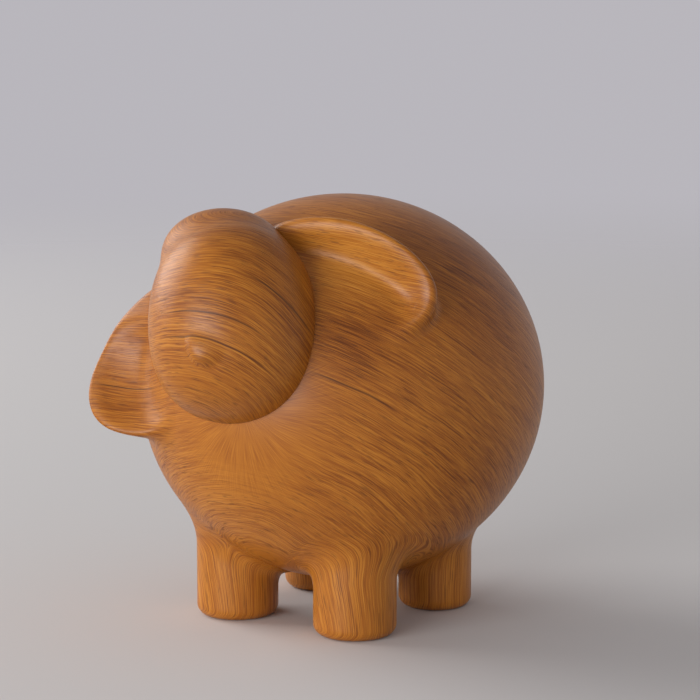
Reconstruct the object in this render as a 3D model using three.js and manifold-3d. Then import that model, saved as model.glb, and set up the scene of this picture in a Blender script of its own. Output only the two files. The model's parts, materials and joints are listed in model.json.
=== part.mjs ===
// Wooden sheep figurine: a ball of a body on four short legs, with an egg of a head tipped to one side,
// a low crown of wool over the brow and two dished ears that stand up from the body.
// Millimetres and degrees. +Z is up, the sheep faces -Y and its left side is +X.

import * as THREE from 'three';
import { mergeVertices } from 'three/addons/utils/BufferGeometryUtils.js';
import Module from 'manifold-3d';

// Body: one turned ball
const bodyWidth = 127;
const bodyLength = 132;
const bodyHeight = 122.4;
const bellyHeight = 11.3; // from the table to the underside of the ball
const bodySetBack = 3.5; // how far the ball's centre lies behind the middle of the feet

// Legs: turned posts, coped to the belly, with a cove where they meet it
const stanceWidth = 45.6; // between the axes of the left and right legs
const stanceLength = 45.6; // between the axes of the front and rear legs
const frontLegDiameter = 26;
const rearLegDiameter = 23.6;
const footRounding = 3.5;
const legCove = 6; // size of the soft turn from the leg into the belly
const legFlare = 2.5; // how far the cove spreads beyond the leg

// Neck: the line from the ball's centre to the head
const neckRise = 28; // upwards from level
const neckTurn = 2; // towards the sheep's left
const neckTip = 18; // sideways tilt of the head and ears, left side up

// Head: an egg with its narrow end on top, seated on the ball
const headWidth = 50.9;
const headDepth = 52;
const headHeight = 60.7;
const headStandOff = 1.1; // from the ball's surface to the middle of the egg, along the neck
const headDrop = 4; // how far the egg's middle hangs below the neck line
const headShift = 1.4; // and lies towards the sheep's right
const faceDip = 20.3; // the face looks down from the neck line
const faceTurn = 23.4; // and turns towards the sheep's left
const headTaper = 0.04; // share by which the egg narrows upwards from its middle
const headFullness = 0.15; // share by which both of its ends fill out

// Crown: the low tuft over the brow
const crownWidth = 33.8;
const crownDepth = 23.8;
const crownHeight = 24.1;
const crownRise = 23.4; // from the egg's middle up to the crown's middle
const crownSetBack = 8.4;
const crownShift = 4.1; // towards the sheep's right
const crownBlend = 8.2;

// Nose: a small soft bump low on the face
const noseWidth = 9.6;
const noseHeight = 9.4;
const noseDepth = 5.2;
const noseDrop = 10.2; // below the egg's middle
const noseReach = 22.5; // in front of the egg's middle
const noseShift = 6.9; // towards the sheep's right
const noseLean = 8; // its lower end stands out
const noseRoll = 15; // its lower end swings towards the sheep's left
const noseTaper = 0.2; // share by which it narrows downwards
const noseBlend = 2;

// Ears: dished leaves that rise from the ball and face forwards and outwards
const earSweep = 35; // the leaves turn outwards from the neck line
const leftEar = {
  name: 'left_ear',
  side: 1,
  turn: -0.8, // tip upwards, in the leaf's own plane
  length: 71.3,
  width: 49.1,
  taper: 0.24, // share by which the leaf narrows towards its tip
  inset: 14.1, // the leaf's middle, inwards from the ear's axis
  drop: -1.6, // and downwards
  root: 34, // where the leaf ends, inwards from the ear's axis
  rootTurn: 0, // the root's lower end swings outwards
  height: 9.5, // lip above the ball
  lipOut: 15, // the lip stands higher towards the tip
  lipUp: 35, // and towards the upper edge
  lipRounding: 3.6,
  dishLength: 132,
  dishWidth: 54,
  dishDepth: 34,
  dishInset: 22, // the dish's middle, inwards from the ear's axis
  dishDrop: -1, // and downwards
  dishFloor: -0.5, // the dish's deepest place, over the ball's surface
  dishRounding: 2,
};
const rightEar = {
  name: 'right_ear',
  side: -1,
  turn: -9.4,
  length: 85.5,
  width: 89.4,
  taper: 0.45,
  inset: 20.9,
  drop: 11.7,
  root: 8,
  rootTurn: 30,
  height: 19.6,
  lipOut: 44.5,
  lipUp: 10,
  lipRounding: 2.4,
  dishLength: 60,
  dishWidth: 80,
  dishDepth: 40,
  dishInset: 7,
  dishDrop: 18,
  dishFloor: -1.5,
  dishRounding: 2.4,
};

// Dowels: beech pins glued into blind holes across each joint
const legDowelDiameter = 6;
const legDowelInLeg = 10;
const legDowelInBody = 14;
const neckDowelDiameter = 8;
const neckDowelInHead = 14;
const neckDowelInBody = 16;
const dowelEndRoom = 0.6; // left for glue past each end

// The film of glue between neighbours
const glueGap = 0.3;

// Facets round the turned forms, and rings along them
const ballFacets = 44;
const ballRings = 28;
const headFacets = 40;
const headRings = 28;
const legFacets = 28;
const earFacets = 56;
const dowelFacets = 16;
const roundingSteps = 3;
const coveSteps = 7;
const earRings = [0.25, 0.45, 0.6, 0.72, 0.81, 0.88, 0.93, 0.965, 0.985];

// How finely a line is searched for the surface of a form
const searchSteps = 120;
const searchHalvings = 24;

const oiledWood = { color: 0xa9682c, roughness: 0.42, metalness: 0 };
const beech = { color: 0xcfa878, roughness: 0.65, metalness: 0 };

const wasm = await Module();
wasm.setup();

const radians = THREE.MathUtils.degToRad;
const vector = (x, y, z) => new THREE.Vector3(x, y, z);

const bodySemi = vector(bodyWidth / 2, bodyLength / 2, bodyHeight / 2);
const bodyCentre = vector(0, bodySetBack, bellyHeight + bodySemi.z);

// A form is a function of a point that is negative inside the wood and grows outwards, about in millimetres
function ellipsoidForm(point, semi) {
  const scaled = point.clone().divide(semi);
  const share = scaled.length();
  const slope = scaled.divide(semi).length();
  return slope > 0 ? (share * (share - 1)) / slope : -Math.min(semi.x, semi.y, semi.z);
}

function softJoin(a, b, blend) {
  const overlap = Math.max(blend - Math.abs(a - b), 0);
  return Math.min(a, b) - (overlap * overlap) / (4 * blend);
}

const softCut = (a, b, blend) => -softJoin(-a, -b, blend);

const bodyForm = (point) => ellipsoidForm(point.clone().sub(bodyCentre), bodySemi);

// The last place along a line from inside a form, between start and end, that is still in the wood
function edgeOf(form, origin, direction, start, end) {
  const at = (distance) => form(origin.clone().addScaledVector(direction, distance));
  if (at(end) < 0) return end;
  let inside = start;
  let outside = end;
  for (let step = 1; step <= searchSteps; step += 1) {
    const distance = start + ((end - start) * step) / searchSteps;
    if (at(distance) >= 0) {
      outside = distance;
      break;
    }
    inside = distance;
  }
  for (let halving = 0; halving < searchHalvings; halving += 1) {
    const middle = (inside + outside) / 2;
    if (at(middle) < 0) inside = middle;
    else outside = middle;
  }
  return inside;
}

// Moves each vertex of a closed geometry and merges the ones that meet
function shaped(geometry, place) {
  geometry.deleteAttribute('normal');
  geometry.deleteAttribute('uv');
  const positions = geometry.attributes.position;
  const point = vector(0, 0, 0);
  for (let index = 0; index < positions.count; index += 1) {
    point.fromBufferAttribute(positions, index);
    place(point);
    positions.setXYZ(index, point.x, point.y, point.z);
  }
  return mergeVertices(geometry, 1e-4);
}

function solid(geometry) {
  const position = geometry.attributes.position.array;
  const index = Array.from(geometry.index.array);
  const corners = [];
  for (let first = 0; first < index.length; first += 3) {
    const [a, b, c] = index.slice(first, first + 3);
    if (a !== b && b !== c && c !== a) corners.push(a, b, c);
  }
  const mesh = new wasm.Mesh({
    numProp: 3,
    vertProperties: new Float32Array(position),
    triVerts: new Uint32Array(corners),
  });
  return new wasm.Manifold(mesh);
}

function meshOf(name, manifold, finish) {
  const cut = manifold.getMesh();
  const geometry = new THREE.BufferGeometry();
  geometry.setAttribute('position', new THREE.BufferAttribute(cut.vertProperties, cut.numProp));
  geometry.setIndex(new THREE.BufferAttribute(cut.triVerts, 1));
  geometry.computeVertexNormals();
  const mesh = new THREE.Mesh(geometry, new THREE.MeshStandardMaterial(finish));
  mesh.name = name;
  return mesh;
}

// The ball, and the same ball grown by the glue film, which copes its neighbours
function ball(growth) {
  const sphere = new THREE.SphereGeometry(1, ballFacets, ballRings).rotateX(Math.PI / 2);
  const semi = bodySemi.clone().addScalar(growth);
  return solid(shaped(sphere, (point) => point.multiply(semi).add(bodyCentre)));
}

const copedBall = ball(glueGap);

// A round pin along a direction from a joint, and the blind hole that takes it
function pin(joint, direction, below, above, diameter) {
  const cylinder = new THREE.CylinderGeometry(diameter / 2, diameter / 2, below + above, dowelFacets);
  cylinder.translate(0, (above - below) / 2, 0);
  const turn = new THREE.Quaternion().setFromUnitVectors(vector(0, 1, 0), direction);
  return solid(shaped(cylinder, (point) => point.applyQuaternion(turn).add(joint)));
}

function dowel(joint, direction, below, above, diameter) {
  const room = dowelEndRoom + glueGap;
  return {
    wood: pin(joint, direction, below, above, diameter),
    hole: pin(joint, direction, below + room, above + room, diameter + 2 * glueGap),
  };
}

// Where a line upwards from the table at this place meets the belly
function bellyAt(x, y) {
  const across = (x - bodyCentre.x) / bodySemi.x;
  const along = (y - bodyCentre.y) / bodySemi.y;
  return bodyCentre.z - bodySemi.z * Math.sqrt(1 - across * across - along * along);
}

// One leg: a post with a rounded foot, widened by the cove under the belly, then coped
function leg(name, x, y, diameter) {
  const radius = diameter / 2;
  const outward = vector(x - bodyCentre.x, y - bodyCentre.y, 0).normalize();
  const rim = outward.clone().multiplyScalar(radius + legFlare).add(vector(x, y, 0));
  const top = bellyAt(rim.x, rim.y) + legFlare;
  const postForm = (point) => {
    const side = Math.hypot(point.x - x, point.y - y) - (radius - footRounding);
    const under = footRounding - point.z;
    const corner = Math.hypot(Math.max(side, 0), Math.max(under, 0));
    return Math.min(Math.max(side, under), 0) + corner - footRounding;
  };
  const legForm = (point) => softJoin(postForm(point), bodyForm(point), legCove);
  const profile = [new THREE.Vector2(0, 0)];
  for (let step = 0; step <= roundingSteps; step += 1) {
    const angle = (Math.PI / 2) * (step / roundingSteps);
    const foot = radius - footRounding + footRounding * Math.sin(angle);
    profile.push(new THREE.Vector2(foot, footRounding * (1 - Math.cos(angle))));
  }
  for (let step = 1; step <= coveSteps; step += 1) {
    profile.push(new THREE.Vector2(radius, footRounding + ((top - footRounding) * step) / coveSteps));
  }
  profile.push(new THREE.Vector2(0, top));
  const turned = new THREE.LatheGeometry(profile, legFacets).rotateX(Math.PI / 2);
  const post = shaped(turned, (point) => {
    const reach = Math.hypot(point.x, point.y);
    if (reach > radius - 1e-6 && point.z > footRounding) {
      const side = vector(point.x / reach, point.y / reach, 0);
      const axis = vector(x, y, point.z);
      const widened = edgeOf(legForm, axis, side, 0, radius + legFlare);
      point.x = side.x * widened;
      point.y = side.y * widened;
    }
    point.add(vector(x, y, 0));
  });
  const joint = vector(x, y, bellyAt(x, y));
  const up = vector(0, 0, 1);
  const fixing = dowel(joint, up, legDowelInLeg, legDowelInBody, legDowelDiameter);
  return { name, wood: solid(post).subtract(copedBall).subtract(fixing.hole), fixing };
}

const legs = [];
for (const [end, along, diameter] of [
  ['front', -stanceLength / 2, frontLegDiameter],
  ['rear', stanceLength / 2, rearLegDiameter],
]) {
  for (const [side, across] of [
    ['left', stanceWidth / 2],
    ['right', -stanceWidth / 2],
  ]) {
    legs.push(leg(`${end}_${side}_leg`, across, along, diameter));
  }
}

// Directions of the neck: out along it, towards the sheep's left, and up
const rise = radians(neckRise);
const turn = radians(neckTurn);
const neckOut = vector(Math.sin(turn) * Math.cos(rise), -Math.cos(turn) * Math.cos(rise), Math.sin(rise));
const levelLeft = vector(0, 0, 1).cross(neckOut).normalize();
const neckLeft = levelLeft.clone().applyAxisAngle(neckOut, radians(neckTip));
const neckUp = neckOut.clone().cross(neckLeft);

// From the ball's centre to its surface along a direction
const bodyReach = (direction) => 1 / direction.clone().divide(bodySemi).length();

// The head's own frame: left, forwards and up from the middle of the egg
const faceAxes = [neckLeft, neckOut, neckUp].map((axis) => {
  const dipped = axis.clone().applyAxisAngle(neckLeft, radians(faceDip));
  return dipped.applyAxisAngle(neckUp, radians(faceTurn));
});
const headCentre = bodyCentre.clone()
  .addScaledVector(neckOut, bodyReach(neckOut) + headStandOff)
  .addScaledVector(neckUp, -headDrop)
  .addScaledVector(neckLeft, -headShift);
const inFace = (point) => {
  const offset = point.clone().sub(headCentre);
  return vector(...faceAxes.map((axis) => offset.dot(axis)));
};

const eggSemi = vector(headWidth / 2, headDepth / 2, headHeight / 2);
const crownSemi = vector(crownWidth / 2, crownDepth / 2, crownHeight / 2);
const crownMiddle = vector(-crownShift, -crownSetBack, crownRise);
const noseSemi = vector(noseWidth / 2, noseDepth / 2, noseHeight / 2);
const noseMiddle = vector(-noseShift, noseReach, -noseDrop);
const across = vector(1, 0, 0);
const ahead = vector(0, 1, 0);

function headForm(point) {
  const local = inFace(point);
  const height = THREE.MathUtils.clamp(local.z / eggSemi.z, -1.2, 1.2);
  const narrowing = 1 - headTaper * height + headFullness * height * height;
  const egg = ellipsoidForm(vector(local.x / narrowing, local.y / narrowing, local.z), eggSemi);
  const crown = ellipsoidForm(local.clone().sub(crownMiddle), crownSemi);
  const nose = local.clone().sub(noseMiddle)
    .applyAxisAngle(across, -radians(noseLean))
    .applyAxisAngle(ahead, -radians(noseRoll));
  nose.x /= 1 + noseTaper * THREE.MathUtils.clamp(nose.z / noseSemi.z, -1, 1);
  return softJoin(softJoin(egg, crown, crownBlend), ellipsoidForm(nose, noseSemi), noseBlend);
}

// A sphere with its pole at the nose, drawn out along its own radii until it meets the head's form
function head(growth) {
  const sphere = new THREE.SphereGeometry(1, headFacets, headRings);
  const toNose = faceAxes[0].clone().multiplyScalar(noseMiddle.x)
    .addScaledVector(faceAxes[1], noseMiddle.y)
    .addScaledVector(faceAxes[2], noseMiddle.z)
    .normalize();
  const aim = new THREE.Quaternion().setFromUnitVectors(vector(0, 1, 0), toNose);
  const reach = eggSemi.length() + crownSemi.length();
  const grown = (point) => headForm(point) - growth;
  const drawn = shaped(sphere, (point) => {
    point.applyQuaternion(aim).normalize();
    const edge = edgeOf(grown, headCentre, point, 0, reach);
    point.multiplyScalar(edge).add(headCentre);
  });
  return solid(drawn);
}

const copedHead = head(glueGap);

// All that lies past a plane, which is square to a direction and this far from the ball's centre
function halfSpace(direction, distance) {
  const size = bodySemi.length() * 4;
  const slab = new THREE.BoxGeometry(size, size, size).translate(size / 2 + distance, 0, 0);
  const turn = new THREE.Quaternion().setFromUnitVectors(across, direction);
  return solid(shaped(slab, (point) => point.applyQuaternion(turn).add(bodyCentre)));
}

// One ear: a leaf-shaped wall that rises from the ball to a rounded lip, hollowed by a dish
function ear(size) {
  const sweep = radians(earSweep);
  const sideways = neckLeft.clone().multiplyScalar(size.side);
  const level = sideways.clone().multiplyScalar(Math.cos(sweep)).addScaledVector(neckOut, -Math.sin(sweep));
  const facing = neckOut.clone().multiplyScalar(Math.cos(sweep)).addScaledVector(sideways, Math.sin(sweep));
  const tilt = radians(size.turn);
  const tipwards = level.clone().multiplyScalar(Math.cos(tilt)).addScaledVector(neckUp, Math.sin(tilt));
  const upwards = neckUp.clone().multiplyScalar(Math.cos(tilt)).addScaledVector(level, -Math.sin(tilt));
  const capSemi = bodySemi.clone().addScalar(size.height);
  const capCentre = bodyCentre.clone()
    .addScaledVector(tipwards, size.lipOut)
    .addScaledVector(upwards, size.lipUp);
  const dishSemi = vector(size.dishLength / 2, size.dishWidth / 2, size.dishDepth);
  const dishMiddle = vector(
    -size.dishInset,
    -size.dishDrop,
    bodyReach(facing) + size.dishFloor + size.dishDepth,
  );
  const leafSemi = vector(size.length / 2, size.width / 2, 1);
  const leafForm = (along, over) => {
    const x = (along + size.inset) / leafSemi.x;
    const narrowing = 1 - size.taper * THREE.MathUtils.clamp(x, -1, 1);
    const y = (over + size.drop) / leafSemi.y / narrowing;
    return ellipsoidForm(vector(x, y, 0).multiply(leafSemi), leafSemi);
  };
  const earForm = (point) => {
    const offset = point.clone().sub(bodyCentre);
    const local = vector(offset.dot(tipwards), offset.dot(upwards), offset.dot(facing));
    const cap = ellipsoidForm(point.clone().sub(capCentre), capSemi);
    const lip = softCut(leafForm(local.x, local.y), cap, size.lipRounding);
    return softCut(lip, -ellipsoidForm(local.sub(dishMiddle), dishSemi), size.dishRounding);
  };
  const profile = [new THREE.Vector2(0, 1)];
  for (const share of earRings) profile.push(new THREE.Vector2(share, 1));
  profile.push(new THREE.Vector2(earRings.at(-1), 0), new THREE.Vector2(0, 0));
  const disc = new THREE.LatheGeometry(profile.reverse(), earFacets);
  const root = bodyReach(facing) / 2;
  const end = bodySemi.length() + size.height + size.lipOut;
  const leaf = shaped(disc, (point) => {
    const isLip = point.y > 0.5;
    const along = -point.z * leafSemi.x;
    const narrowing = 1 + size.taper * point.z;
    const over = -size.side * point.x * narrowing * leafSemi.y;
    const foot = bodyCentre.clone()
      .addScaledVector(tipwards, along - size.inset)
      .addScaledVector(upwards, over - size.drop);
    const edge = isLip ? edgeOf(earForm, foot, facing, root, end) : root;
    point.copy(foot).addScaledVector(facing, edge);
  });
  const rootTurn = radians(size.rootTurn);
  const fromRoot = tipwards.clone().multiplyScalar(Math.cos(rootTurn))
    .addScaledVector(upwards, Math.sin(rootTurn));
  const wood = solid(leaf)
    .intersect(halfSpace(sideways, 0))
    .intersect(halfSpace(fromRoot, -size.root))
    .subtract(copedBall)
    .subtract(copedHead);
  return { name: size.name, wood };
}

const ears = [leftEar, rightEar].map(ear);

const neckJoint = bodyCentre.clone().addScaledVector(neckOut, bodyReach(neckOut));
const neckFixing = dowel(neckJoint, neckOut, neckDowelInBody, neckDowelInHead, neckDowelDiameter);

let drilledBall = ball(0).subtract(neckFixing.hole);
for (const { fixing } of legs) drilledBall = drilledBall.subtract(fixing.hole);

const pieces = [
  meshOf('body', drilledBall, oiledWood),
  meshOf('head', head(0).subtract(copedBall).subtract(neckFixing.hole), oiledWood),
  meshOf('neck_dowel', neckFixing.wood, beech),
];
for (const { name, wood } of ears) pieces.push(meshOf(name, wood, oiledWood));
for (const { name, wood, fixing } of legs) {
  pieces.push(meshOf(name, wood, oiledWood));
  pieces.push(meshOf(`${name}_dowel`, fixing.wood, beech));
}

// The figurine stands on the table with the middle of its box over the origin
const figurine = new THREE.Group();
figurine.add(...pieces);
const box = new THREE.Box3().setFromObject(figurine);
const middle = box.getCenter(vector(0, 0, 0));
figurine.position.set(-middle.x, -middle.y, -box.min.z);

export default figurine;
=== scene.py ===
# Wooden sheep figurine: a ball of a body on four short legs, with an egg of a head tipped to one side
# and two dished ears. Metres, +Z up; the sheep faces -Y and its left side is +X.
import json
import math

import bmesh
import bpy
import numpy as np
from mathutils import Matrix, Vector


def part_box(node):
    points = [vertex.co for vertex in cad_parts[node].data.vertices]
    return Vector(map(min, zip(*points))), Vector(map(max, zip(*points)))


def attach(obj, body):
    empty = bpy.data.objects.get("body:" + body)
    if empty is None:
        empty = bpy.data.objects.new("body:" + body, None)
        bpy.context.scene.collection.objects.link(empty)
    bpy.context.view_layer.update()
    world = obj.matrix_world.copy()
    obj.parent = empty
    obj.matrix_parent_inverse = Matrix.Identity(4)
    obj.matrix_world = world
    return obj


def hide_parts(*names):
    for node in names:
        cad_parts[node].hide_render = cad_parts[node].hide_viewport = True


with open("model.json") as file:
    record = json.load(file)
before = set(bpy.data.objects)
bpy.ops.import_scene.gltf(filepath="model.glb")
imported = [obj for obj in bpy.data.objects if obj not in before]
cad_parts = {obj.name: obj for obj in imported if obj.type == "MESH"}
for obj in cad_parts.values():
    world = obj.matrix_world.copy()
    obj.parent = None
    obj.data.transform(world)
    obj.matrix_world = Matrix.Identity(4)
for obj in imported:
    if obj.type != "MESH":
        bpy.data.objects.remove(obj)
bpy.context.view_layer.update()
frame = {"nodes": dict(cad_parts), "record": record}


# Body
# One ball turned from a block of golden-brown hardwood, sanded smooth and finished with satin oil.
# It is drilled for the dowels, and everything else is glued to it.
mm = 0.001
low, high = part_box("body")
ball_centre = np.array((low + high) / 2)
ball_semi = np.array((high - low) / 2)
ball_divisions = 6


def ellipsoid(points, centre, semi):
    """A form is negative inside the wood and grows outwards, about in metres."""
    scaled = (points - centre) / semi
    share = np.linalg.norm(scaled, axis=-1)
    slope = np.linalg.norm(scaled / semi, axis=-1)
    return share * (share - 1) / np.maximum(slope, 1e-9)


def ball(points):
    return ellipsoid(points, ball_centre, ball_semi)


class Grain:
    """A value or a vector that changes over the wood: one socket of a node tree."""

    def __init__(self, tree, socket=None):
        self.tree = tree
        self.socket = socket

    def node(self, kind, settings=None, inputs=None, output=0):
        made = self.tree.nodes.new(kind)
        for name, value in (settings or {}).items():
            if name == "stops":
                ramp = made.color_ramp.elements
                while len(ramp) < len(value):
                    ramp.new(1)
                for stop, (place, colour) in zip(ramp, value):
                    stop.position = place
                    stop.color = (*colour, 1)
            else:
                setattr(made, name, value)
        for key, value in (inputs or {}).items():
            if isinstance(value, Grain):
                self.tree.links.new(value.socket, made.inputs[key])
            else:
                made.inputs[key].default_value = value
        return Grain(self.tree, made.outputs[output])

    def math(self, operation, *values):
        return self.node("ShaderNodeMath", {"operation": operation}, dict(enumerate(values)))

    def vector(self, operation, *values, output=0):
        return self.node("ShaderNodeVectorMath", {"operation": operation}, dict(enumerate(values)), output)

    def scale(self, vector, factor):
        return self.node("ShaderNodeVectorMath", {"operation": "SCALE"}, {0: vector, "Scale": factor})

    def noise(self, place, layer, detail):
        settings = {"noise_dimensions": "4D"}
        inputs = {"Vector": place, "W": layer, "Scale": 1.0, "Detail": detail}
        return self.node("ShaderNodeTexNoise", settings, inputs)

    def rise(self, start, end):
        settings = {"interpolation_type": "SMOOTHSTEP"}
        return self.node("ShaderNodeMapRange", settings, {0: self, 1: start, 2: end})

    def between(self, first, second):
        """Goes from one colour to another as this value goes from 0 to 1."""
        return self.node("ShaderNodeMix", {"data_type": "RGBA"}, {0: self, 6: first, 7: second}, 2)

    def __add__(self, other):
        return self.math("ADD", self, other)

    def __sub__(self, other):
        return self.math("SUBTRACT", self, other)

    def __rsub__(self, other):
        return self.math("SUBTRACT", other, self)

    def __mul__(self, other):
        return self.math("MULTIPLY", self, other)

    def __truediv__(self, other):
        return self.math("DIVIDE", self, other)

    __radd__ = __add__
    __rmul__ = __mul__


# The grain's sizes are in millimetres. It stands upright in the legs and fans out under the chin.
leg_axis_out = 22.8
leg_grain_top = 22.8
leg_grain_height = 18
belly_grain_height = 38
leg_grain_reach = 14
belly_grain_reach = 24
leg_grain_line = (0.819, 0.574, 0)
leg_tone = 0.12
fan_right = (0.99, 0.15, 0)
fan_down = (0, 0.06, -1)
fan_radius = 14
fan_reach = 36
fan_strength = 0.6
upright_stretch = (1, 1, 0.5)
broad_sway = 4
small_sway = 0.5
fine_sway = 0.3
streak_depth = 0.12
fibre_depth = 0.40
line_depth = 0.10
line_shift = 8.76
narrower = 2.3  # how much thinner the layers are where the surface runs along them and draws them out
pore_depth = 0.45
oiled_roughness = 0.38
pore_roughness = 0.08
crack_depth = 0.8
crack_sway = 0.8
middle_tone = 0.52
band_depth = 0.35
wood_tones = [
    (0.15, (0.138, 0.034, 0.003)),
    (0.40, (0.319, 0.092, 0.009)),
    (0.62, (0.457, 0.157, 0.015)),
    (0.90, (0.594, 0.239, 0.032)),
]
pore_colour = (0.060, 0.016, 0.004, 1)


def carved_wood(name, pith_point, pith_line, cracks, painted_light, fan_centre=None):
    """Growth layers lie round the heart of the tree, a line through a point; all in millimetres."""
    material = bpy.data.materials.new(name)
    material.use_nodes = True
    tree = material.node_tree
    shader = tree.nodes["Principled BSDF"]
    wood = Grain(tree)
    metres = wood.node("ShaderNodeTexCoord", output="Object")
    place = wood.scale(metres, 1 / mm)

    def dot(first, second):
        return wood.vector("DOT_PRODUCT", first, second, output="Value")

    def length(vector):
        return wood.vector("LENGTH", vector, output="Value")

    def across_pith(point):
        return wood.vector("CROSS_PRODUCT", wood.vector("SUBTRACT", point, pith_point), pith_line)

    def strands(place, layer, length, thickness, detail):
        return wood.noise(wood.scale(place, 1 / length), layer / thickness, detail)

    def wave(length, seed):
        return wood.noise(wood.scale(place, 1 / length), seed, 1)

    between_legs = (0, ball_centre[1] / mm, 0)
    corner = wood.vector("SIGN", wood.vector("SUBTRACT", place, between_legs))
    legs = wood.vector("MULTIPLY_ADD", corner, (leg_axis_out, leg_axis_out, 0), between_legs)
    off_axis = wood.vector("MULTIPLY", wood.vector("SUBTRACT", place, legs), (1, 1, 0))
    in_leg = 1 - length(off_axis).rise(leg_grain_reach, belly_grain_reach)
    in_leg = in_leg * (1 - dot(place, (0, 0, 1)).rise(leg_grain_height, belly_grain_height))
    leg_top = wood.vector("ADD", legs, (0, 0, leg_grain_top))
    upright = length(across_pith(leg_top)) + dot(off_axis, leg_grain_line)
    layer = length(across_pith(place))
    layer = layer + in_leg * (upright - layer)

    outward = wood.vector("NORMALIZE", wood.vector("CROSS_PRODUCT", pith_line, across_pith(place)))
    outward = wood.scale(outward, 1 - in_leg)
    outward = wood.vector("ADD", outward, wood.scale(leg_grain_line, in_leg))
    facing = dot(wood.node("ShaderNodeNewGeometry", output="Normal"), outward)
    steep = wood.math("SQRT", wood.math("MAXIMUM", 1 - facing * facing, 0))

    small_wave = wave(length=12, seed=4.5)
    ripple = small_sway * small_wave + fine_sway * wave(length=4, seed=8.5)
    wavy = layer + broad_sway * wave(length=40, seed=0.5) + ripple
    drawn = wood.vector("MULTIPLY", place, upright_stretch)

    def figure(place, layer):
        streaks = strands(place, layer, length=30, thickness=0.8, detail=3)
        fibres = strands(place, layer, length=10, thickness=0.13, detail=1).rise(0.36, 0.64)
        lines = strands(place, layer + line_shift, length=35, thickness=1.2, detail=2)
        thin = 1 - wood.math("ABSOLUTE", lines - 0.5).rise(0, 0.04)
        return streak_depth * (streaks - 0.5) + fibre_depth * (fibres - 0.5) - line_depth * thin

    narrow = figure(drawn, narrower * wavy)
    grain = narrow + steep.rise(0.35, 0.8) * (figure(drawn, wavy) - narrow)
    grain = grain * steep.rise(0, 0.25)
    pores = strands(drawn, wavy, length=4, thickness=0.25, detail=1).rise(0.57, 0.70)
    if fan_centre:
        spread = wood.vector("SUBTRACT", place, fan_centre)
        angle = wood.math("ARCTAN2", dot(spread, fan_right), dot(spread, fan_down))
        ray = wood.node("ShaderNodeCombineXYZ", inputs={0: length(spread)})
        fan = fan_strength * figure(ray, fan_radius * angle + ripple)
        outside = length(spread).rise(fan_radius, fan_reach)
        grain = fan + outside * (grain - fan)
        pores = pores * outside

    bands = strands(drawn, wavy, length=45, thickness=9, detail=2)
    tone = middle_tone + band_depth * (bands - 0.5) + grain + leg_tone * in_leg
    # Painted light and painted shade: each patch lightens or darkens the tone round its middle.
    for centre, radius, change in painted_light:
        away = wood.vector("DISTANCE", place, centre, output="Value")
        tone = tone + change * (1 - away.rise(0, radius))
    colour = wood.node("ShaderNodeValToRGB", {"stops": wood_tones}, {0: tone})
    hollow = pore_depth * pores
    for centre, half_length, width in cracks:
        depth = float(np.linalg.norm(np.cross(np.subtract(centre, pith_point), pith_line)))
        beside = wood.math("ABSOLUTE", layer + crack_sway * (small_wave - 0.5) - depth)
        away = wood.vector("DISTANCE", place, centre, output="Value")
        split = (1 - beside.rise(0, width)) * (1 - away.rise(half_length / 2, half_length))
        hollow = wood.math("MAXIMUM", hollow, crack_depth * split)
    tree.links.new(hollow.between(colour, pore_colour).socket, shader.inputs["Base Color"])
    rough = oiled_roughness + pore_roughness * pores
    tree.links.new(rough.socket, shader.inputs["Roughness"])
    shader.inputs["Specular IOR Level"].default_value = 0.36
    bump = {"Strength": 0.2, "Distance": 0.1 * mm, "Height": grain - pores}
    tree.links.new(wood.node("ShaderNodeBump", inputs=bump).socket, shader.inputs["Normal"])
    return material


# A crack has a middle, half a length and a width. A patch has a middle, a radius and a change of tone: it is
# painted light where the change is above nought and painted shade where it is below.
body_cracks = [
    ((40, -39.5, 81.6), 17, 0.5),
    ((-41, -47, 75.5), 13, 0.4),
]
body_painted_light = [
    # painted light on the upper wall of the left ear's dish
    ((27.7, -27.7, 122.7), 30, 0.24),
    # painted shadow of the head on the ball below the left ear
    ((36.7, -35.5, 98.1), 20, -0.26),
    # painted shade on the top of the ball behind the left ear
    ((48, 16, 112.3), 40, -0.14),
    # painted sheen on the floor of the left ear's dish
    ((38, -30, 111), 22, 0.14),
    # painted light on the chest
    ((0, -50, 52), 38, 0.12),
]
oiled_wood = carved_wood(
    "carved_wood",
    pith_point=(-13, -221.2, -272),
    pith_line=(0.495, -0.729, 0.472),
    cracks=body_cracks,
    painted_light=body_painted_light,
    fan_centre=(9.2, -54.4, 75),
)


def add_piece(name, shape, material, node):
    """Makes an object of a bmesh, smooth all over, that stands for a CAD node of the root body."""
    mesh = bpy.data.meshes.new(name)
    for face in shape.faces:
        face.smooth = True
    shape.to_mesh(mesh)
    shape.free()
    mesh.materials.append(material)
    piece = bpy.data.objects.new(name, mesh)
    bpy.context.scene.collection.objects.link(piece)
    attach(piece, "root")
    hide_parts(node)


turned_ball = bmesh.new()
bmesh.ops.create_icosphere(turned_ball, subdivisions=ball_divisions, radius=1)
bmesh.ops.scale(turned_ball, vec=Vector(ball_semi), verts=turned_ball.verts)
bmesh.ops.translate(turned_ball, vec=Vector(ball_centre), verts=turned_ball.verts)
add_piece("ball_body", turned_ball, oiled_wood, "body")


# Legs
# Four turned posts with rounded feet, glued and dowelled under the belly.
# After gluing, a cove is carved and sanded where each one meets the ball.
leg_diameters = {"front": 26 * mm, "rear": 23.6 * mm}
foot_rounding = 3.5 * mm
leg_cove = 6 * mm
cove_reach = 6.5 * mm  # how far a leg's skin spreads past its post before it dips under the ball's
skin_dip = 0.004 * mm
leg_facets = 96
leg_ring = 0.7 * mm
rounding_steps = 8
weld_distance = 1e-9


def soft_join(a, b, blend):
    overlap = np.maximum(blend - np.abs(a - b), 0)
    return np.minimum(a, b) - overlap**2 / (4 * blend)


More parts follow.
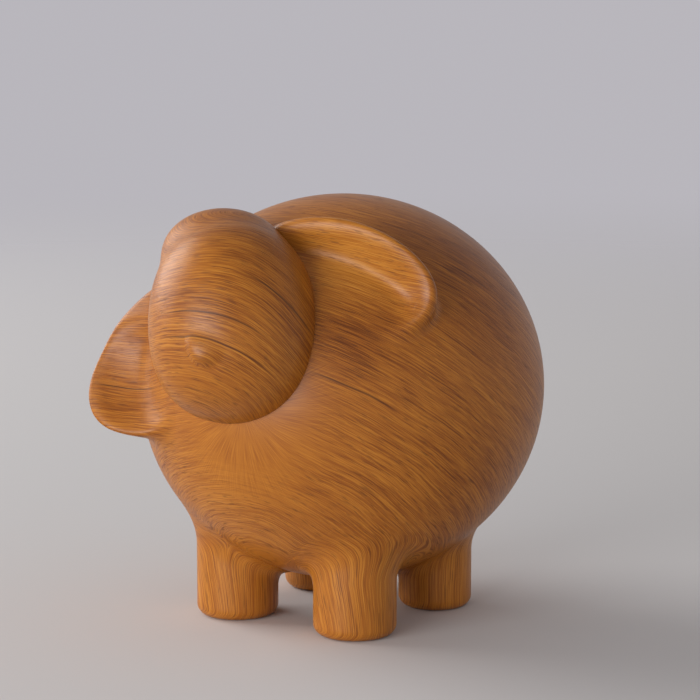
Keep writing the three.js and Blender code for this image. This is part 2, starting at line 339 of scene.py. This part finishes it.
def edge_of(form, origins, directions, start, end, strides=90, halvings=22):
    """How far along each line, from start towards end, the wood of a form goes before it first ends."""
    inside = np.broadcast_to(start, len(origins)).astype(float)
    end = np.broadcast_to(end, len(origins)).astype(float)
    outside = end.copy()
    stride = (end - inside) / strides
    going = np.ones(len(origins), bool)
    for _ in range(strides):
        ahead = inside + stride
        wood = form(origins + directions * ahead[:, None]) < 0
        outside = np.where(going & ~wood, ahead, outside)
        going &= wood
        inside = np.where(going, ahead, inside)
    for _ in range(halvings):
        middle = (inside + outside) / 2
        wood = form(origins + directions * middle[:, None]) < 0
        inside = np.where(wood, middle, inside)
        outside = np.where(wood, outside, middle)
    return inside


def turned(profile, facets):
    """Spins a profile of (radius, height), which starts and ends on the axis, into a closed shape."""
    shape = bmesh.new()
    line = [shape.verts.new((radius, 0, height)) for radius, height in profile]
    edges = [shape.edges.new(pair) for pair in zip(line, line[1:])]
    bmesh.ops.spin(
        shape,
        geom=line + edges,
        cent=(0, 0, 0),
        axis=(0, 0, 1),
        angle=2 * math.pi,
        steps=facets,
        use_merge=True,
    )
    bmesh.ops.remove_doubles(shape, verts=shape.verts, dist=weld_distance)
    return shape


def places(shape):
    return np.array([vert.co for vert in shape.verts])


def move_to(shape, points):
    for vert, point in zip(shape.verts, points):
        vert.co = point
    bmesh.ops.recalc_face_normals(shape, faces=shape.faces)


def leg(end, side):
    foot = next(m for m in frame["record"]["mounts"] if m["name"] == f"{end}_{side}_foot")
    axis = np.array(foot["pos_m"])
    radius = leg_diameters[end] / 2
    widest = radius + cove_reach
    out = np.hypot(*(axis - ball_centre)[:2]) + widest
    top = ball_centre[2] - ball_semi[2] * math.sqrt(1 - (out / ball_semi[:2].min()) ** 2)

    def post(points):
        side_gap = np.hypot(*(points - axis)[:, :2].T) - (radius - foot_rounding)
        under = foot_rounding - points[:, 2]
        corner = np.hypot(np.maximum(side_gap, 0), np.maximum(under, 0))
        return np.minimum(np.maximum(side_gap, under), 0) + corner - foot_rounding

    def coved(points):
        return soft_join(post(points), ball(points) + skin_dip, leg_cove)

    turns = np.linspace(0, math.pi / 2, rounding_steps + 1)
    foot_radii = radius - foot_rounding + foot_rounding * np.sin(turns)
    foot_heights = foot_rounding * (1 - np.cos(turns))
    rings = np.linspace(foot_rounding, top, math.ceil((top - foot_rounding) / leg_ring))[1:]
    profile = [(0, 0), *zip(foot_radii, foot_heights)]
    profile += [(radius, height) for height in rings]
    profile.append((0, top))
    shape = turned(profile, leg_facets)
    points = places(shape)
    reach = np.hypot(points[:, 0], points[:, 1])
    wall = (reach > radius - skin_dip) & (points[:, 2] > foot_rounding)
    outward = points[wall] * (1, 1, 0) / reach[wall, None]
    spine = axis + points[wall] * (0, 0, 1)
    points[wall, :2] = outward[:, :2] * edge_of(coved, spine, outward, 0, widest)[:, None]
    points[:, :2] += axis[:2]
    move_to(shape, points)
    name = f"{end}_{side}_leg"
    add_piece(f"turned_{name}", shape, oiled_wood, name)


for end in ("front", "rear"):
    for side in ("left", "right"):
        leg(end, side)


# Ears
# Two leaves carved from the same wood, each hollowed to a dish with a rounded lip, glued to the ball
# beside the head. The left one stands higher because the head is tipped.
neck_rise = math.radians(28)
neck_turn = math.radians(2)
neck_tip = math.radians(18)
ear_sweep = math.radians(35)
neck_out = Vector((
    math.sin(neck_turn) * math.cos(neck_rise),
    -math.cos(neck_turn) * math.cos(neck_rise),
    math.sin(neck_rise),
))
level_left = Vector((0, 0, 1)).cross(neck_out).normalized()
neck_left = Matrix.Rotation(neck_tip, 3, neck_out) @ level_left
neck_up = neck_out.cross(neck_left)
ear_facets = 220
ear_rings = 150
dish_samples = 150
lip_samples = 24
wall_samples = 60
left_ear = {
    "node": "left_ear",
    "side": 1,
    "turn": math.radians(-10.2),
    "length": 69.6 * mm,
    "width": 42.2 * mm,
    "taper": 0.2,
    "inset": 13.9 * mm,
    "drop": -2.2 * mm,
    "root": -34 * mm,
    "root_turn": 0,
    "root_rounding": 4 * mm,
    "height": 11 * mm,
    "lip_out": 15 * mm,
    "lip_up": 35 * mm,
    "lip_rounding": 3.2 * mm,
    "bead": 3.4 * mm,
    "draft": 1.05,
    "floor": -6 * mm,
    "floor_rounding": 12 * mm,
    "dish_rounding": 2.2 * mm,
    "cove": 3 * mm,
    "heart": -4 * mm,
}
right_ear = {
    "node": "right_ear",
    "side": -1,
    "turn": math.radians(-9.4),
    "length": 85.5 * mm,
    "width": 89.4 * mm,
    "taper": 0.45,
    "inset": 20.9 * mm,
    "drop": 11.7 * mm,
    "root": -12 * mm,
    "root_turn": math.radians(30),
    "root_rounding": 30 * mm,
    "height": 19.6 * mm,
    "lip_out": 44.5 * mm,
    "lip_up": 10 * mm,
    "lip_rounding": 2.4 * mm,
    "dish": np.array((60 * mm / 2, 80 * mm / 2, 40 * mm)),
    "dish_out": -7 * mm,
    "dish_up": -18 * mm,
    "dish_floor": -6 * mm,
    "dish_rounding": 2.4 * mm,
    "cove": 4 * mm,
    "heart": 4 * mm,
}
lip_inset = 1.2 * mm  # the skin is followed upwards inside this edge of the leaf, and outwards past it
hem = 4 * mm  # past the cove, the skin runs on under the ball's and sinks
hem_fall = 20  # its depth there, per square of the distance in metres
under_ball = 3 * mm


def soft_cut(a, b, blend):
    return -soft_join(-a, -b, blend)


def lofted(lines, bottom):
    """Spins a disc and moves it onto lines that run from its middle to its edge, closed to a point below."""
    strides = np.linalg.norm(np.diff(lines, axis=0), axis=-1)
    lengths = np.vstack((np.zeros(ear_facets), np.cumsum(strides, axis=0)))
    wanted = np.linspace(0, 1, ear_rings + 1)
    rings = np.empty((ear_rings + 1, ear_facets, 3))
    for facet in range(ear_facets):
        share = lengths[:, facet] / lengths[-1, facet]
        for axis in range(3):
            rings[:, facet, axis] = np.interp(wanted, share, lines[:, facet, axis])
    shape = turned([(radius, 1) for radius in wanted] + [(0, 0)], ear_facets)
    disc = places(shape)
    ring = np.rint(np.hypot(disc[:, 0], disc[:, 1]) * ear_rings).astype(int)
    turn = np.arctan2(disc[:, 1], disc[:, 0]) / (2 * math.pi)
    facet = np.rint(turn * ear_facets).astype(int) % ear_facets
    move_to(shape, np.where(disc[:, 2:] > 0.5, rings[ring, facet], bottom))
    return shape


def ear(size):
    sideways = size["side"] * neck_left
    level = math.cos(ear_sweep) * sideways - math.sin(ear_sweep) * neck_out
    facing = np.array(math.cos(ear_sweep) * neck_out + math.sin(ear_sweep) * sideways)
    tipwards = np.array(math.cos(size["turn"]) * level + math.sin(size["turn"]) * neck_up)
    upwards = np.array(math.cos(size["turn"]) * neck_up - math.sin(size["turn"]) * level)
    axes = np.array((tipwards, upwards, facing))
    ball_reach = 1 / np.linalg.norm(facing / ball_semi)
    cap_centre = ball_centre + size["lip_out"] * tipwards + size["lip_up"] * upwards
    cap_semi = ball_semi + size["height"]
    leaf_semi = np.array((size["length"] / 2, size["width"] / 2))
    root_line = np.array((math.cos(size["root_turn"]), math.sin(size["root_turn"])))

    def leaf(local):
        along = (local[:, 0] + size["inset"]) / leaf_semi[0]
        narrowing = 1 - size["taper"] * np.clip(along, -1, 1)
        over = (local[:, 1] + size["drop"]) / leaf_semi[1] / narrowing
        flat = np.stack((along, over), -1) * leaf_semi
        past_root = size["root"] - local[:, :2] @ root_line
        return soft_cut(ellipsoid(flat, 0, leaf_semi), past_root, size["root_rounding"])

    def outline(points):
        return leaf((points - ball_centre) @ axes.T)

    def hollow(points, local, cap):
        """The left dish is a bowl with sloping sides inside a bead, and the right one a plain scoop."""
        if "bead" in size:
            slope = leaf(local) + size["bead"] - size["draft"] * cap
            return soft_cut(slope, size["floor"] - ball(points), size["floor_rounding"])
        dish_height = ball_reach + size["dish_floor"] + size["dish"][2]
        dish_centre = np.array((size["dish_out"], size["dish_up"], dish_height))
        return ellipsoid(local, dish_centre, size["dish"])

    def skin(points):
        local = (points - ball_centre) @ axes.T
        cap = ellipsoid(points, cap_centre, cap_semi)
        lip = soft_cut(leaf(local), cap, size["lip_rounding"])
        wood = soft_cut(lip, -hollow(points, local, cap), size["dish_rounding"])
        sunk = skin_dip + hem_fall * np.maximum(outline(points) - size["cove"], 0) ** 2
        return soft_join(wood, ball(points) + sunk, size["cove"])

    def on_skin(starts, rays):
        starts, rays = np.broadcast_arrays(starts, rays)
        lift = edge_of(skin, starts.reshape(-1, 3), rays.reshape(-1, 3), 0, ball_reach)
        return starts + rays * lift.reshape(*starts.shape[:2], 1)

    angles = np.linspace(0, 2 * math.pi, ear_facets, endpoint=False)
    spokes = np.cos(angles)[:, None] * tipwards + np.sin(angles)[:, None] * upwards
    heart = ball_centre + size["heart"] * tipwards - size["drop"] * upwards
    rim = edge_of(outline, np.broadcast_to(heart, spokes.shape), spokes, 0, size["length"])[:, None]
    shares = np.linspace(0, 1, dish_samples)[:, None, None]
    dish = on_skin(heart + shares * (rim - lip_inset) * spokes + ball_reach / 2 * facing, facing)
    crest = dish[-1] - lip_inset * facing
    turns = np.linspace(0, math.pi / 2, lip_samples)[1:, None, None]
    lip = on_skin(crest, np.cos(turns) * facing + np.sin(turns) * spokes)
    skirt = heart + (rim + size["cove"] + hem) * spokes
    low = edge_of(ball, skirt, np.broadcast_to(facing, skirt.shape), 0, 2 * ball_reach)
    fall = ((crest - ball_centre) @ facing - low)[:, None]
    shares = np.linspace(0, 1, wall_samples)[1:, None, None]
    wall = on_skin(crest - shares * fall * facing, spokes)
    shape = lofted(np.concatenate((dish, lip, wall)), heart + (ball_reach - under_ball) * facing)
    add_piece(f"carved_{size['node']}", shape, oiled_wood, size["node"])


ear(left_ear)
ear(right_ear)


# Head
# An egg with its narrow end on top, a low crown over the brow and a soft nose, carved in one piece.
# It is coped to the ball and held by one dowel along the neck.
head_semi = np.array((50.9, 52, 60.7)) * mm / 2
head_stand_off = 1.1 * mm
head_drop = 4 * mm
head_shift = 1.4 * mm
face_dip = math.radians(20.3)
face_turn = math.radians(23.4)
head_taper = 0.04
head_fullness = 0.15
head_overrun = 1.2  # the egg's taper goes on this far past its ends, as a share of its height
crown_semi = np.array((33.8, 23.8, 24.1)) * mm / 2
crown_centre = np.array((-4.1, -8.4, 23.4)) * mm
crown_blend = 8.2 * mm
nose_semi = np.array((11.6, 6, 10.4)) * mm / 2
nose_centre = np.array((-5.6, 23.1, -9)) * mm
nose_lean = math.radians(8)
nose_roll = math.radians(15)
nose_taper = 0.2
nose_blend = 1.4 * mm
neck_sunk = 1.5 * mm  # how far the head sits into the ball
heart_ahead = 9 * mm
head_search = 3 * head_semi[2]
head_divisions = 6

face_turned = Matrix.Rotation(face_turn, 3, neck_up) @ Matrix.Rotation(face_dip, 3, neck_left)
face_axes = np.array([face_turned @ axis for axis in (neck_left, neck_out, neck_up)])
neck_length = 1 / np.linalg.norm(np.array(neck_out) / ball_semi)
neck_offset = (neck_length + head_stand_off) * neck_out - head_drop * neck_up - head_shift * neck_left
head_centre = ball_centre + np.array(neck_offset)
nose_axes = np.array(Matrix.Rotation(-nose_roll, 3, "Y") @ Matrix.Rotation(-nose_lean, 3, "X"))


def head_wood(points):
    local = (points - head_centre) @ face_axes.T
    height = np.clip(local[:, 2] / head_semi[2], -head_overrun, head_overrun)
    narrowing = 1 - head_taper * height + head_fullness * height**2
    widths = np.stack((narrowing, narrowing, np.ones(len(points))), -1)
    egg = ellipsoid(local / widths, 0, head_semi)
    crown = ellipsoid(local, crown_centre, crown_semi)
    tip = (local - nose_centre) @ nose_axes.T
    tip[:, 0] /= 1 + nose_taper * np.clip(tip[:, 2] / nose_semi[2], -1, 1)
    nose = ellipsoid(tip, 0, nose_semi)
    return soft_join(soft_join(egg, crown, crown_blend), nose, nose_blend)


def coped_head(points):
    return np.maximum(head_wood(points), -ball(points) - neck_sunk)


head = bmesh.new()
bmesh.ops.create_icosphere(head, subdivisions=head_divisions, radius=1)
rays = places(head)
rays /= np.linalg.norm(rays, axis=-1, keepdims=True)
heart = np.broadcast_to(head_centre + heart_ahead * np.array(neck_out), rays.shape)
lift = edge_of(coped_head, heart, rays, 0, head_search)
move_to(head, heart + lift[:, None] * rays)
face_cracks = [
    ((25.8, -54.6, 108), 17, 0.6),
    ((12.3, -72.4, 105.9), 20, 0.4),
    ((14, -73.2, 97.7), 22, 0.4),
]
face_wood = carved_wood(
    "face_wood",
    pith_point=(10.1, -35.8, 129.9),
    pith_line=(-0.744, -0.529, 0.409),
    cracks=face_cracks,
    painted_light=[],
)
add_piece("carved_head", head, face_wood, "head")


# Dowels
# Round beech pins, left bare, glued into blind holes across the joints of the legs and the neck.
# The CAD solids show them, with flecks drawn out along each pin.
fleck_width = 0.4 * mm
fleck_length = 2.8 * mm


def beech_wood(name, axis):
    material = bpy.data.materials.new(name)
    material.use_nodes = True
    tree = material.node_tree
    shader = tree.nodes["Principled BSDF"]
    wood = Grain(tree)
    metres = wood.node("ShaderNodeTexCoord", output="Object")
    turn = axis.rotation_difference(Vector((0, 0, 1))).to_euler()
    settings = {"vector_type": "POINT"}
    flecks_per_metre = (1 / fleck_width, 1 / fleck_width, 1 / fleck_length)
    inputs = {"Vector": metres, "Rotation": turn, "Scale": flecks_per_metre}
    along = wood.node("ShaderNodeMapping", settings, inputs)
    flecks = wood.noise(along, 0.5, 3)
    stops = [(0.3, (0.42, 0.26, 0.12)), (0.7, (0.62, 0.42, 0.22))]
    colour = wood.node("ShaderNodeValToRGB", {"stops": stops}, {0: flecks})
    tree.links.new(colour.socket, shader.inputs["Base Color"])
    tree.links.new((0.75 - 0.2 * flecks).socket, shader.inputs["Roughness"])
    return material


upright_beech = beech_wood("upright_beech", Vector((0, 0, 1)))
for end in ("front", "rear"):
    for side in ("left", "right"):
        frame["nodes"][f"{end}_{side}_leg_dowel"].material_slots[0].material = upright_beech
frame["nodes"]["neck_dowel"].material_slots[0].material = beech_wood("neck_beech", neck_out)


# Table
# A plain pale matt tabletop, flat and much wider than the sheep.
# It fades into the backdrop all round.
table_radius = 3.0
table_facets = 96
fade_start = 0.35
fade_end = 1.6
table = bmesh.new()
bmesh.ops.create_circle(table, cap_ends=True, segments=table_facets, radius=table_radius)
table_mesh = bpy.data.meshes.new("table")
table.to_mesh(table_mesh)
table.free()
tabletop = bpy.data.objects.new("table", table_mesh)
bpy.context.scene.collection.objects.link(tabletop)
pale = bpy.data.materials.new("pale_tabletop")
pale.use_nodes = True
top = Grain(pale.node_tree)
board = pale.node_tree.nodes["Principled BSDF"]
board.inputs["Base Color"].default_value = (0.68, 0.66, 0.65, 1)
board.inputs["Roughness"].default_value = 0.5
board.inputs["Specular IOR Level"].default_value = 0
spot = top.node("ShaderNodeTexCoord", output="Object")
far = top.vector("LENGTH", spot, output="Value").rise(fade_start, fade_end)
clear = top.node("ShaderNodeBsdfTransparent")
shown = Grain(pale.node_tree, board.outputs[0])
faded = top.node("ShaderNodeMixShader", inputs={0: far, 1: shown, 2: clear})
pale.node_tree.links.new(faded.socket, pale.node_tree.nodes["Material Output"].inputs["Surface"])
table_mesh.materials.append(pale)


# Light and camera
# Two broad soft lamps, a low one at the front and a higher one at the side, in a pale room.
# The camera stands low at the sheep's front left.
view_turn = math.radians(35)
view_rise = math.radians(9.3)
view_distance = 0.832
aim_right = 2.2 * mm
aim_up = 11.2 * mm
view_right = Vector((math.cos(view_turn), math.sin(view_turn), 0))
view_back = Vector((
    math.sin(view_turn) * math.cos(view_rise),
    -math.cos(view_turn) * math.cos(view_rise),
    math.sin(view_rise),
))
view_up = view_back.cross(view_right)
lens = bpy.data.cameras.new("camera")
lens.lens = 133.7
camera = bpy.data.objects.new("camera", lens)
bpy.context.scene.collection.objects.link(camera)
camera.location = Vector(ball_centre) + view_distance * view_back
aim = Vector(ball_centre) + aim_right * view_right + aim_up * view_up
camera.rotation_euler = (aim - camera.location).to_track_quat("-Z", "Y").to_euler()
bpy.context.scene.camera = camera


def soft_lamp(name, turn, rise, distance, width, height, watts):
    """An area lamp that looks at the ball; it stands this far round from the camera and above the ball."""
    lamp = bpy.data.lights.new(name, "AREA")
    lamp.shape = "RECTANGLE"
    lamp.size = width
    lamp.size_y = height
    lamp.energy = watts
    stand = bpy.data.objects.new(name, lamp)
    bpy.context.scene.collection.objects.link(stand)
    side = view_turn + math.radians(turn)
    level = Vector((math.sin(side), -math.cos(side), 0))
    towards = math.cos(math.radians(rise)) * level + math.sin(math.radians(rise)) * Vector((0, 0, 1))
    stand.location = Vector(ball_centre) + distance * towards
    stand.rotation_euler = (-towards).to_track_quat("-Z", "Y").to_euler()


soft_lamp("key_lamp", turn=-40, rise=8, distance=2, width=1.4, height=0.6, watts=26)
soft_lamp("side_lamp", turn=-118, rise=25, distance=2, width=1.6, height=1.3, watts=28)

room_sides = (0.51, 0.50, 0.52, 1)
room_ceiling = (0.31, 0.305, 0.315, 1)
backdrop = (0.485, 0.47, 0.505, 1)
room = bpy.data.worlds.new("room")
bpy.context.scene.world = room
room.use_nodes = True
wall = Grain(room.node_tree)
towards = wall.node("ShaderNodeTexCoord", output="Generated")
above = wall.vector("DOT_PRODUCT", towards, (0, 0, 1), output="Value").rise(0.2, 0.7)
seen = wall.node("ShaderNodeLightPath", output="Is Camera Ray")
shade = seen.between(above.between(room_sides, room_ceiling), backdrop)
room.node_tree.links.new(shade.socket, room.node_tree.nodes["Background"].inputs["Color"])

bpy.context.scene.view_settings.view_transform = "Standard"
